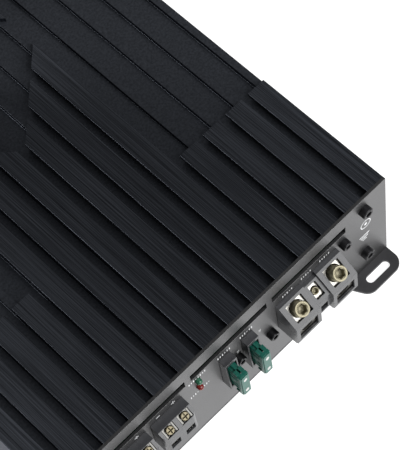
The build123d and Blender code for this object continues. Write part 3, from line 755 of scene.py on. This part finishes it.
def cross_screw(node):
    """Domed cross-recess screw of a speaker clamp."""
    top, radius = slanted_top(node)
    rings = [(0.9, -6.45), (1.3, -6.3)]
    rings += thread_rings(1.72, 0.32, 0.8, -6.0, -2.0)
    rings += [(1.3, -1.85), (radius - 0.05, -1.8), (radius, -1.6), (radius, -0.75)]
    rings += [(radius * 0.93, -0.4), (radius * 0.82, -0.16), (1.78, -0.02)]
    rings += [(cross(0.36, 1.65), -0.02), (cross(0.24, 1.3), -0.95), (0.2, -1.4)]
    shape = bmesh.new()
    stack_rings(shape, rings, 96, facing(top, SCREW_AXIS))
    stand_in(finish_mesh(node + "_detailed", shape, 40), node, STEEL)


# ---------------------------------------------------------------- fuses and lights

FUSE_HEAD_T = 2.4
FUSE_FACE_T = 0.55
FUSE_WEB_T = 1.1
FUSE_EAR = 0.5
FUSE_RIB_HALF = 0.3
FUSE_RAISED = 0.22
FUSE_CONTACT_AT = 0.58
LENS_R = 1.5
LENS_COLLAR_R = 1.9
LENS_STRAIGHT = 1.0
LEAD_R = 0.25
LEAD_X = 0.7


def fuse(number):
    """Blade fuse body: stepped head, thin web, ears, ribbed stem and a raised panel on both sides."""
    node = f"fuse_body_{number}"
    low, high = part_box(node)
    face = Vector(((low.x + high.x) / 2, low.y, (low.z + high.z) / 2))
    matrix = facing(face, (0, -1, 0)) @ Matrix.Rotation(math.pi / 2, 4, "Z")
    half_t = half_width(low, high)
    half_h = (high.z - low.z) / 2 / MM
    depth = (high.y - low.y) / MM
    stem_h = half_h - 1.3
    stem_t = half_t - 0.5
    shape = bmesh.new()
    prism(shape, chamfered(half_h, half_t, 0.7), -FUSE_HEAD_T, -FUSE_FACE_T, matrix)
    prism(shape, chamfered(half_h - 0.45, half_t - 0.45, 0.5), -FUSE_FACE_T, -0.02, matrix)
    prism(shape, chamfered(stem_h, stem_t, 0.3), -depth, -FUSE_HEAD_T, matrix)
    slab(shape, (-half_h, -FUSE_WEB_T / 2, -depth), (half_h, FUSE_WEB_T / 2, -FUSE_HEAD_T), matrix)
    for side in (-1, 1):
        ear = side * half_h
        slab(shape, (ear - FUSE_EAR, -half_t + 0.2, -5.2), (ear, half_t - 0.2, -FUSE_HEAD_T), matrix)
        for y in (-stem_t, stem_t):
            for off in (-1.5, 1.5):
                x = side * stem_h * 0.52 + off
                slab(shape, (x - FUSE_RIB_HALF, y - FUSE_RAISED, -depth + 0.4),
                     (x + FUSE_RIB_HALF, y + FUSE_RAISED, -FUSE_HEAD_T), matrix)
    for y in (-stem_t, stem_t):
        slab(shape, (-2.0, y - FUSE_RAISED, -9.5), (2.0, y + FUSE_RAISED, -4.6), matrix)
    piece = finish_mesh(node + "_detailed", shape)
    round_edges(piece, 0.16)
    stand_in(piece, node, FUSE_GREEN)
    test_points(number, matrix, half_h)


def test_points(number, matrix, half_h):
    """Two flat dark-green ovals on the fuse's outer face, painted shade standing in for its recessed test
    holes, each with a bright contact in it.
    """
    shape = bmesh.new()
    for x in (-half_h * FUSE_CONTACT_AT, half_h * FUSE_CONTACT_AT):
        # Flat dark oval: painted shade where the test hole's recess would be.
        prism(shape, oval(x, 0, 1.35, 1.0), -0.03, 0.02, matrix, 1)
        prism(shape, oval(x + 0.35, 0.1, 0.5, 0.32), 0.0, 0.05, matrix, 0)
    piece = finish_mesh(f"fuse_test_points_{number}", shape)
    show(piece, f"fuse_element_{number}", TIN, PAINTED_HOLE_SHADE)


def panel_light(node, material):
    """Domed lens with its collar behind the panel, and two leads back to the board."""
    low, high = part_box(node)
    face_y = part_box("front_panel")[0].y
    x = (low.x + high.x) / 2
    z = low.z + LENS_COLLAR_R * MM
    rings = [(LENS_COLLAR_R, -2.7), (LENS_COLLAR_R, -1.7), (LENS_R, -1.7), (LENS_R, 0.0)]
    for k in range(8):
        angle = k * math.pi / 16
        rings.append((LENS_R * math.cos(angle), LENS_STRAIGHT + LENS_R * math.sin(angle)))
    rings.append((0.15, LENS_STRAIGHT + LENS_R))
    shape = bmesh.new()
    stack_rings(shape, rings, 48, facing(Vector((x, face_y, z)), (0, -1, 0)))
    stand_in(finish_mesh(node + "_detailed", shape), node, material)
    leads = bmesh.new()
    for side in (-1, 1):
        start = Vector((x + side * LEAD_X * MM, face_y + 3.2 * MM, z))
        bend = Vector((start.x, high.y - LEAD_R * MM, z))
        route = [start, bend]
        if high.z - z > 3 * MM:
            route.append(Vector((start.x, bend.y, high.z)))
        tube(leads, route, LEAD_R)
    show(finish_mesh(node + "_leads", leads), node, TIN)


# ---------------------------------------------------------------- coils, cans and board

POINTS_PER_TURN = 20
WOUND_SHARE = 0.97


def squared(value):
    """Flatten a sine so that a circle becomes a rounded square."""
    return math.copysign(abs(value) ** 0.45, value)


def wound_ring(name, node, box, inner, turns, wire):
    """Ring core evenly wound with wire of a radius, but for a small gap, inside a plain ring's box."""
    low, high = box
    centre = (low + high) / 2
    outer = half_width(low, high)
    mid = (outer + inner) / 2
    half_r = (outer - inner) / 2 - wire
    half_z = (high.z - low.z) / MM / 2 - wire
    shape = bmesh.new()
    core = rectangle(mid - half_r + wire, -half_z + wire, mid + half_r - wire, half_z - wire)
    stack_rings(shape, core + core[:1], 64, Matrix.Translation(centre), 1, (False, False))
    path = []
    for k in range(turns * POINTS_PER_TURN):
        across = 2 * math.pi * k / POINTS_PER_TURN
        around = across / turns * WOUND_SHARE
        r = mid + half_r * squared(math.cos(across))
        z = half_z * squared(math.sin(across))
        path.append(centre + Vector((r * math.cos(around), r * math.sin(around), z)) * MM)
    tube(shape, path, wire, 7)
    piece = finish_mesh(name, shape, 60)
    show(piece, node, COPPER, DARK_COATING_AND_SCORE_SHADE)
    return piece


def coils():
    """Transformers and output coils."""
    for node in numbered("toroid", 2):
        piece = wound_ring(node + "_winding", node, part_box(node), inner=10.0, turns=54, wire=0.8)
        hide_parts(node)
    for number, box in enumerate(islands("output_coils"), 1):
        name = f"output_coil_{number}"
        wound_ring(name, "output_coils", box, inner=5.0, turns=30, wire=0.7)
    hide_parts("output_coils")


def cans(node):
    """Capacitor cans under the board: sleeve with a rolled bead, vent disc with flat dark strips of painted
    shade for its scores, and a pale stripe.
    """
    shape = bmesh.new()
    for low, high in islands(node):
        centre = (low + high) / 2
        radius = half_width(low, high)
        height = (high.z - low.z) / MM
        matrix = facing(Vector((centre.x, centre.y, high.z)), (0, 0, -1))
        bead = height * 0.1
        disc = height - 0.35
        stack_rings(shape, [
            (radius * 0.9, 0.0), (radius, 0.4), (radius, bead), (radius * 0.94, bead + 0.6),
            (radius * 0.94, bead + 1.0), (radius, bead + 1.6), (radius, height - 0.7),
            (radius * 0.95, height - 0.1), (radius * 0.86, height), (radius * 0.84, disc)],
            64, matrix, 0, (True, False))
        stack_rings(shape, [(radius * 0.84, disc), (radius * 0.2, disc)], 64, matrix, 1, (False, True))
        # Flat dark strips across the vent disc: painted shade standing in for its scored grooves.
        for turn in (0, math.pi / 2):
            score = matrix @ Matrix.Rotation(turn, 4, "Z")
            slab(shape, (-radius * 0.7, -0.2, disc - 0.03), (radius * 0.7, 0.2, disc + 0.05), score, 3)
        band = [(math.cos(k * 0.09) * (radius + 0.04), math.sin(k * 0.09) * (radius + 0.04))
                for k in range(-4, 5)]
        band += [(x * 0.985, y * 0.985) for x, y in reversed(band)]
        prism(shape, band, bead + 1.7, height - 0.8, matrix, 2)
    stand_in(finish_mesh(node + "_detailed", shape), node, SLEEVE, ALLOY, STRIPE, DARK_COATING_AND_SCORE_SHADE)


def spacers():
    """Hexagonal brass spacers over the board."""
    shape = bmesh.new()
    hexagon = hexagonal(6.0)
    bore = 1.3
    face = 2.7
    for low, high in islands("board_standoffs"):
        centre = (low + high) / 2
        height = (high.z - low.z) / MM
        matrix = Matrix.Translation(Vector((centre.x, centre.y, low.z)))
        stack_rings(shape, [
            (bore, 0.0), (face, 0.0), (hexagon, 0.35), (hexagon, height - 0.35), (face, height),
            (bore, height), (bore, 0.0)], 48, matrix, 0, (False, False))
    stand_in(finish_mesh("board_standoffs_detailed", shape), "board_standoffs", BRASS)


ROW_START_Y = 118.0
ROW_STEP = 9.0
COLUMN_STEP = 16.5
CHIP_Y = 23.5
CHIP_STEP = 30.0
PIN_STEP = 2.54


def standing_box(shape, x, y, half_x, half_y, low, high, matrix, material):
    """Add a box by its middle, half sizes and two heights."""
    slab(shape, (x - half_x, y - half_y, low), (x + half_x, y + half_y, high), matrix, material)


def board_parts():
    """Rows of resistors and film capacitors at the board's rear, and driver chips nearer its middle."""
    board_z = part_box("main_board")[0].z
    under = Matrix.Translation(Vector((0, 0, board_z))) @ Matrix.Diagonal((1, 1, -1, 1))
    shape = bmesh.new()
    for row in range(4):
        for column in range(-4, 5):
            x = column * COLUMN_STEP
            y = ROW_START_Y + row * ROW_STEP
            if row % 2:
                standing_box(shape, x, y, 3.2, 1.2, 0.25, 2.4, under, 0)
                standing_box(shape, x, y, 4.6, 0.35, 0.0, 0.4, under, 1)
            else:
                standing_box(shape, x, y, 2.6, 1.5, 0.2, 6.4, under, 2)
                standing_box(shape, x, y, 1.9, 0.2, 0.0, 0.4, under, 1)
    for column in range(-2, 3):
        x = column * CHIP_STEP
        standing_box(shape, x, CHIP_Y, 9, 3.5, 0.4, 3.4, under, 3)
        for pin in range(7):
            standing_box(shape, x - 7.5 + pin * PIN_STEP, CHIP_Y, 0.3, 4.7, 0.0, 0.6, under, 1)
    piece = finish_mesh("board_small_parts", shape)
    round_edges(piece, 0.15, 1)
    show(piece, "main_board", IVORY, TIN, RED, EPOXY)


# ---------------------------------------------------------------- rear controls

JACK_ROOT_R = 3.6
JACK_HOLE_R = 1.7


def jacks():
    """Signal jacks: plated sleeves around a red or white insulator with the pin hole."""
    shape = bmesh.new()
    panel_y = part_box("rear_panel")[1].y
    for low, high in islands("input_jack_shells"):
        centre = (low + high) / 2
        radius = half_width(low, high)
        out = (high.y - panel_y) / MM
        depth = (panel_y - low.y) / MM
        matrix = facing(Vector((centre.x, panel_y, centre.z)), (0, 1, 0))
        stack_rings(shape, [
            (JACK_ROOT_R, -depth), (JACK_ROOT_R, 0.0), (radius, 0.0), (radius, 0.6), (radius * 0.96, 0.9),
            (radius * 0.96, out - 1.0), (radius * 0.93, out - 0.4), (radius * 0.88, out),
            (radius * 0.74, out)], 64, matrix, 0, (True, False))
        insulator = 2 if centre.x / MM > middle_of("input_jack_shells") else 1
        stack_rings(shape, [
            (radius * 0.74, out), (radius * 0.72, out - 0.5), (1.9, out - 0.5), (JACK_HOLE_R, out - 0.9)],
            64, matrix, insulator, (False, False))
        stack_rings(shape, [(JACK_HOLE_R, out - 0.9), (JACK_HOLE_R, -depth + 4)],
                    64, matrix, 0, (False, True))
    piece = finish_mesh("input_jack_shells_detailed", shape)
    stand_in(piece, "input_jack_shells", NICKEL, IVORY, RED)


def knob(node):
    """Knurled control knob with a slot and a pointer mark."""
    low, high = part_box(node)
    centre = (low + high) / 2
    radius = half_width(low, high)
    panel_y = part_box("rear_panel")[1].y
    matrix = facing(Vector((centre.x, panel_y, centre.z)), (0, 1, 0))
    out = (high.y - panel_y) / MM
    back = (panel_y - low.y) / MM
    grip = knurled(radius, 24, 0.22)
    shape = bmesh.new()
    stack_rings(shape, [
        (1.5, -back), (1.5, -4.5), (radius * 0.95, -4.5), (grip, -4.2), (grip, out - 0.6),
        (radius * 0.9, out - 0.15), (radius * 0.8, out), (slotted(0.45, radius * 0.66), out),
        (slotted(0.4, radius * 0.62), out - 0.9)], 96, matrix)
    pointer = rectangle(-0.22, radius * 0.5, 0.22, radius * 0.78)
    prism(shape, pointer, out - 0.02, out, matrix, 1)
    stand_in(finish_mesh(node + "_detailed", shape), node, EPOXY, PRINT)


def slider(node):
    """Ribbed tab of a slide switch."""
    low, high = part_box(node)
    size = (high - low) / MM
    matrix = Matrix.Translation(low)
    rib_h = 0.5
    shape = bmesh.new()
    slab(shape, (0, 0, 0), (size.x, size.y - rib_h, size.z), matrix)
    for k in range(4):
        x = 0.25 + k * (size.x - 0.5) / 4
        slab(shape, (x, size.y - rib_h, 0.2), (x + 0.35, size.y, size.z - 0.2), matrix)
    piece = finish_mesh(node + "_detailed", shape)
    round_edges(piece, 0.12)
    stand_in(piece, node, IVORY)


# ---------------------------------------------------------------- printed marks

PRINT_T = 0.04
LINE = 0.5
MARKS_Z = -18.6
RING_Z = -25.0
BARS_Z = -35.0
TICK_STEP = 1.4
TICK_HEIGHTS = (1.7, 1.1, 1.7, 0.7, 1.4)


def bar(shape, x, z, width, height, matrix):
    """Printed rectangle around a place on the panel."""
    outline = rectangle(x - width / 2, z - height / 2, x + width / 2, z + height / 2)
    prism(shape, outline, 0.0, PRINT_T, matrix)


def ring(shape, x, z, radius, line, matrix):
    """Printed circle line."""
    place = matrix @ Matrix.Translation(Vector((x, z, 0)) * MM)
    inside = radius - line
    stack_rings(shape, [(radius, 0.0), (radius, PRINT_T), (inside, PRINT_T), (inside, 0.0)],
                32, place, 0, (False, False))


def ticks(shape, x, z, count, step, matrix):
    """Row of small upright strokes of uneven height, centred on a place."""
    for k in range(count):
        bar(shape, x + (k - (count - 1) / 2) * step, z, LINE, TICK_HEIGHTS[k % len(TICK_HEIGHTS)], matrix)


def panel_marks():
    """Generic strokes and symbols on the front panel, measured from the middle of its top edge."""
    low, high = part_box("front_panel")
    matrix = Matrix.Translation(Vector((0, low.y, high.z))) @ Matrix.Rotation(math.pi / 2, 4, "X")
    shape = bmesh.new()
    for name in ("supply", "remote", "ground"):
        ticks(shape, middle_of(f"{name}_terminal_block"), MARKS_Z, 5, TICK_STEP, matrix)
    for holder in numbered("fuse_holder", 2):
        x = middle_of(holder)
        ticks(shape, x, MARKS_Z, 6, TICK_STEP, matrix)
        bar(shape, x + 7.6, -29.0, 1.4, LINE, matrix)
        bar(shape, x + 7.6, -30.4, 0.8, LINE, matrix)
    for node, count, z in (("power_light", 8, -17.3), ("protection_light", 9, -31.0)):
        ticks(shape, middle_of(node), z, count, 1.35, matrix)
    for housing in numbered("speaker_housing", 2):
        x = middle_of(housing)
        bar(shape, x - 4.5, MARKS_Z, 2.2, LINE, matrix)
        bar(shape, x + 4.5, MARKS_Z, 2.2, LINE, matrix)
        bar(shape, x + 4.5, MARKS_Z, LINE, 2.2, matrix)
    symbol_x = high.x / MM - 13.5
    ring(shape, symbol_x, RING_Z, 3.3, LINE, matrix)
    ring(shape, symbol_x, RING_Z, 0.9, 0.8, matrix)
    for k in range(3):
        bar(shape, symbol_x - 1.0, BARS_Z - k * 2.0, 6.4 - k * 1.8, 0.7, matrix)
    show(finish_mesh("front_panel_marks", shape), "front_panel", PRINT)


# ---------------------------------------------------------------- assembly

ROUNDED = [
    (["front_panel", "rear_panel"], 0.2, PAINT),
    (["bottom_plate"], 0.3, POWDER),
    (["main_board"], 0.1, BOARD),
    (["power_terminal_housing"], 0.3, PLASTIC),
    (["supply_terminal_block"], 0.18, NICKEL),
    (["remote_terminal_block"], 0.15, NICKEL),
    (["ground_terminal_block"], 0.18, NICKEL),
    (numbered("speaker_housing", 2), 0.22, PLASTIC),
    (numbered("speaker_clamp", 4), 0.12, NICKEL),
    (numbered("fuse_holder", 2), 0.22, PLASTIC),
    (numbered("fuse_contacts", 2), 0.05, TIN),
    (numbered("fuse_element", 2), 0.08, TIN),
    (["transistors_left", "transistors_right"], 0.25, EPOXY),
    (["insulating_pad_left", "insulating_pad_right"], 0.08, SILICONE),
    (["clamp_bar_left", "clamp_bar_right"], 0.35, ZINC),
    (["toroid_washers"], 0.3, ZINC),
    (["input_jack_block"], 0.35, PLASTIC),
    (["control_pots"], 0.3, PLASTIC),
    (["slide_switches"], 0.25, PLASTIC),
    (["remote_port"], 0.3, PLASTIC),
]

finned_casing(0.24)
for nodes, width, material in ROUNDED:
    for node in nodes:
        refined(node, width, material)
screw_group("front_panel_screws", Vector((0, 1, 0)), OXIDE)
screw_group("rear_panel_screws", Vector((0, -1, 0)), OXIDE)
screw_group("board_screws", Vector((0, 0, 1)), ZINC)
screw_group("clamp_screws", Vector((1, 0, 0)), ZINC)
flush_screws()
terminal_screw("supply_set_screw", radius=3.9, across=4.4, pitch=1.25)
terminal_screw("ground_set_screw", radius=3.9, across=4.4, pitch=1.25)
terminal_screw("remote_set_screw", radius=1.9, across=2.2, pitch=0.7)
pressure_plate("supply", below_top=5.2, width=9.4, height=8.9, hole=4.1)
pressure_plate("ground", below_top=6.4, width=9.4, height=8.9, hole=4.1)
pressure_plate("remote", below_top=0.7, width=4.5, height=7.0, hole=2.1)
for number in range(1, 5):
    cross_screw(f"speaker_screw_{number}")
    clamp_plate(number)
for number in (1, 2):
    fuse(number)
panel_light("power_light", LENS_GREEN)
panel_light("protection_light", LENS_RED)
coils()
cans("supply_capacitors")
cans("filter_capacitors")
spacers()
board_parts()
jacks()
for node in ("gain_knob", "crossover_knob", "bass_knob"):
    knob(node)
slider("mode_switch_slider")
slider("boost_switch_slider")
panel_marks()


# ---------------------------------------------------------------- stage, light and camera

FLOOR_HALF = 6.0
LIT_PLACE = Vector((0, -0.15, 0.04))
CAMERA_AZIMUTH = math.radians(-37.5)
CAMERA_ELEVATION = math.radians(62.6)
CAMERA_ROLL = math.radians(-8.89)
CAMERA_FROM_CORNER = Vector((-0.26593, -0.25472, 0.69409))
LENS_LENGTH = 142.06
LENS_SHIFT = (-0.1267, -0.0416)


def floor():
    """Plain pale floor under the feet."""
    mesh = bpy.data.meshes.new("floor")
    corners = rectangle(-FLOOR_HALF, -FLOOR_HALF, FLOOR_HALF, FLOOR_HALF)
    mesh.from_pydata([(x, y, 0) for x, y in corners], [], [(0, 1, 2, 3)])
    stage = new_piece("floor", mesh)
    shader = Shader("pale_floor", (0.45, 0.45, 0.45), 0.9)
    shader.shade(shader.grain(3.0), 0.01)
    shader.set("Emission Color", (1.0, 1.0, 1.0, 1.0))
    shader.set("Emission Strength", 0.85)
    mesh.materials.append(shader.material)


def softbox(name, place, size, watts):
    """Rectangular area light aimed at the middle of the terminal end."""
    lamp = bpy.data.lights.new(name, "AREA")
    lamp.shape = "RECTANGLE"
    lamp.size, lamp.size_y = size
    lamp.energy = watts
    holder = bpy.data.objects.new(name, lamp)
    holder.location = place
    holder.rotation_euler = (LIT_PLACE - Vector(place)).to_track_quat("-Z", "Y").to_euler()
    bpy.context.scene.collection.objects.link(holder)


def light_scene():
    """Soft studio: dim surroundings, one broad light in front and a smaller, dimmer one at the left."""
    world = bpy.data.worlds.new("studio")
    bpy.context.scene.world = world
    world.use_nodes = True
    sky = world.node_tree.nodes["Background"]
    sky.inputs["Color"].default_value = (1.0, 1.0, 1.0, 1.0)
    sky.inputs["Strength"].default_value = 0.10
    softbox("front_light", (0.42, -1.22, 1.01), (1.6, 1.4), 32.0)
    softbox("left_strip", (-1.35, 0.42, 0.50), (1.4, 0.5), 8.0)


def camera():
    """Camera high over the terminal panel's end, close in on its top right corner."""
    level = Vector((math.cos(CAMERA_AZIMUTH), math.sin(CAMERA_AZIMUTH), 0))
    away = Vector((math.sin(CAMERA_AZIMUTH), -math.cos(CAMERA_AZIMUTH), 0))
    back = away * math.cos(CAMERA_ELEVATION) + Vector((0, 0, math.sin(CAMERA_ELEVATION)))
    upward = back.cross(level)
    right = level * math.cos(CAMERA_ROLL) + upward * math.sin(CAMERA_ROLL)
    up = upward * math.cos(CAMERA_ROLL) - level * math.sin(CAMERA_ROLL)
    turn = Matrix((right, up, back)).transposed().to_4x4()
    low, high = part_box("front_panel")
    corner = Vector((high.x, low.y, high.z))
    lens = bpy.data.cameras.new("camera")
    lens.lens = LENS_LENGTH
    lens.sensor_width = 36.0
    lens.shift_x, lens.shift_y = LENS_SHIFT
    holder = bpy.data.objects.new("camera", lens)
    holder.matrix_world = Matrix.Translation(corner + CAMERA_FROM_CORNER) @ turn
    bpy.context.scene.collection.objects.link(holder)
    bpy.context.scene.camera = holder


floor()
light_scene()
camera()
bpy.context.scene.view_settings.view_transform = "Standard"
